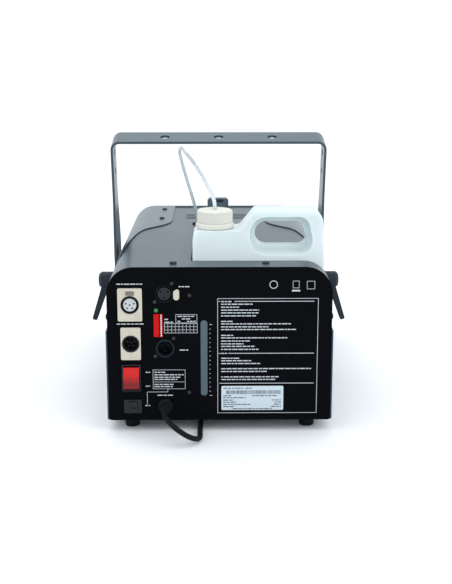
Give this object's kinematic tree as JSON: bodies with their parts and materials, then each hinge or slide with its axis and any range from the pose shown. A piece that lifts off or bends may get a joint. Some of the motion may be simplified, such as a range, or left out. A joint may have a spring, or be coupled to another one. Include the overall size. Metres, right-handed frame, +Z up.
{
  "type": "stage fog machine",
  "caption": "Sheet-metal fog machine with a fluid jug in a bay, a tilting hanging bracket with clamp levers, and a rear control panel.",
  "frame": {"origin": "on the standing surface, under the middle of the machine", "axes": "+Y forward out of the nozzle, -Y towards the user at the rear control panel, +X to the right of someone facing that panel, +Z up"},
  "size_m": [0.3326, 0.6264, 0.3218],
  "materials": {
    "housing_paint": "satin powder coat",
    "panel_paint": "satin black",
    "black_plastic": "matt",
    "knob_plastic": "fine texture",
    "rubber": "matt",
    "jug_plastic": "translucent, moulded",
    "cap_plastic": "semi-gloss",
    "clear_tube": "clear flexible tube",
    "zinc": "satin nickel",
    "steel": "brushed",
    "brass": "turned",
    "cast_metal": "as cast",
    "board": "varnished",
    "red_plastic": "glossy, lit from inside",
    "white_plastic": "matt",
    "green_lens": "glossy"
  },
  "bodies": {
    "machine": {"base_chassis": "housing_paint", "rear_panel": "panel_paint", "front_panel": "housing_paint", "top_cover": "housing_paint", "front_hood": "housing_paint", "bay_liner": "housing_paint", "safety_lug": "black_plastic", "blanking_plug": "black_plastic", "foot_rear_left": "rubber", "foot_front_left": "rubber", "foot_rear_right": "rubber", "foot_front_right": "rubber", "suction_hose": "clear_tube", "hose_grommet": "rubber", "friction_washer_left": "rubber", "friction_washer_right": "rubber", "remote_in_socket": "zinc", "remote_in_insert": "steel", "remote_out_socket": "zinc", "dmx_out_socket": "black_plastic", "dmx_in_socket": "black_plastic", "power_indicator": "green_lens", "dip_switch_block": "red_plastic", "rocker_frame": "black_plastic", "fuse_holder": "black_plastic", "cord_gland": "rubber", "mains_cord": "rubber", "mains_cord_coil": "rubber", "mains_plug": "rubber", "heater_block": "cast_metal", "nozzle": "brass", "nozzle_bezel": "black_plastic", "fluid_pump": "steel", "control_board": "board", "feed_pipe": "steel"},
    "bracket": {"bracket": "housing_paint"},
    "clamp_left": {"clamp_lever_left": "knob_plastic", "clamp_stud_left": "steel"},
    "clamp_right": {"clamp_lever_right": "knob_plastic", "clamp_stud_right": "steel"},
    "jug": {"fluid_jug": "jug_plastic", "neck_ring": "cap_plastic", "dip_tube": "clear_tube", "dip_filter": "steel"},
    "cap": {"jug_cap": "cap_plastic"},
    "rocker": {"rocker_button": "red_plastic"},
    "drawer": {"fuse_drawer": "knob_plastic"},
    "remote_latch": {"remote_in_latch": "steel"},
    "dmx_latch": {"dmx_out_latch": "zinc"},
    "dip_1": {"dip_lever_1": "white_plastic"},
    "dip_2": {"dip_lever_2": "white_plastic"},
    "dip_3": {"dip_lever_3": "white_plastic"},
    "dip_4": {"dip_lever_4": "white_plastic"},
    "dip_5": {"dip_lever_5": "white_plastic"},
    "dip_6": {"dip_lever_6": "white_plastic"},
    "dip_7": {"dip_lever_7": "white_plastic"},
    "dip_8": {"dip_lever_8": "white_plastic"},
    "dip_9": {"dip_lever_9": "white_plastic"},
    "dip_10": {"dip_lever_10": "white_plastic"}
  },
  "joints": [
    {"name": "bracket_tilt", "type": "hinge", "parent": "machine", "child": "bracket", "pos_m": [0, -0.02091, 0.128], "axis": [-1, 0, 0], "range_deg": [-46, 72]},
    {"name": "clamp_left_turn", "type": "hinge", "parent": "machine", "child": "clamp_left", "pos_m": [-0.145, -0.02091, 0.128], "axis": [1, 0, 0], "continuous": true},
    {"name": "clamp_right_turn", "type": "hinge", "parent": "machine", "child": "clamp_right", "pos_m": [0.145, -0.02091, 0.128], "axis": [1, 0, 0], "continuous": true},
    {"name": "jug_lift", "type": "slide", "parent": "machine", "child": "jug", "axis": [0, 0, 1], "range_m": [0, 0.18], "deforming": ["suction_hose"]},
    {"name": "cap_turn", "type": "hinge", "parent": "jug", "child": "cap", "pos_m": [-0.005, -0.15491, 0.235], "axis": [0, 0, 1], "range_deg": [0, 540]},
    {"name": "power_rocker", "type": "hinge", "parent": "machine", "child": "rocker", "pos_m": [-0.099, -0.23991, 0.0638], "axis": [1, 0, 0], "range_deg": [0, 14]},
    {"name": "fuse_drawer_pull", "type": "slide", "parent": "machine", "child": "drawer", "axis": [0, -1, 0], "range_m": [0, 0.02]},
    {"name": "remote_latch_press", "type": "slide", "parent": "machine", "child": "remote_latch", "axis": [0, 1, 0], "range_m": [0, 0.0015], "stiffness_N_per_m": 300, "springref_m": -0.0015},
    {"name": "dmx_latch_press", "type": "slide", "parent": "machine", "child": "dmx_latch", "axis": [0, 1, 0], "range_m": [0, 0.0015], "stiffness_N_per_m": 300, "springref_m": -0.0015},
    {"name": "dip_1_slide", "type": "slide", "parent": "machine", "child": "dip_1", "axis": [-1, 0, 0], "range_m": [0, 0.002]},
    {"name": "dip_2_slide", "type": "slide", "parent": "machine", "child": "dip_2", "axis": [-1, 0, 0], "range_m": [0, 0.002]},
    {"name": "dip_3_slide", "type": "slide", "parent": "machine", "child": "dip_3", "axis": [-1, 0, 0], "range_m": [0, 0.002]},
    {"name": "dip_4_slide", "type": "slide", "parent": "machine", "child": "dip_4", "axis": [-1, 0, 0], "range_m": [0, 0.002]},
    {"name": "dip_5_slide", "type": "slide", "parent": "machine", "child": "dip_5", "axis": [-1, 0, 0], "range_m": [0, 0.002]},
    {"name": "dip_6_slide", "type": "slide", "parent": "machine", "child": "dip_6", "axis": [-1, 0, 0], "range_m": [0, 0.002]},
    {"name": "dip_7_slide", "type": "slide", "parent": "machine", "child": "dip_7", "axis": [-1, 0, 0], "range_m": [0, 0.002]},
    {"name": "dip_8_slide", "type": "slide", "parent": "machine", "child": "dip_8", "axis": [-1, 0, 0], "range_m": [0, 0.002]},
    {"name": "dip_9_slide", "type": "slide", "parent": "machine", "child": "dip_9", "axis": [-1, 0, 0], "range_m": [0, 0.002]},
    {"name": "dip_10_slide", "type": "slide", "parent": "machine", "child": "dip_10", "axis": [-1, 0, 0], "range_m": [0, 0.002]}
  ]
}
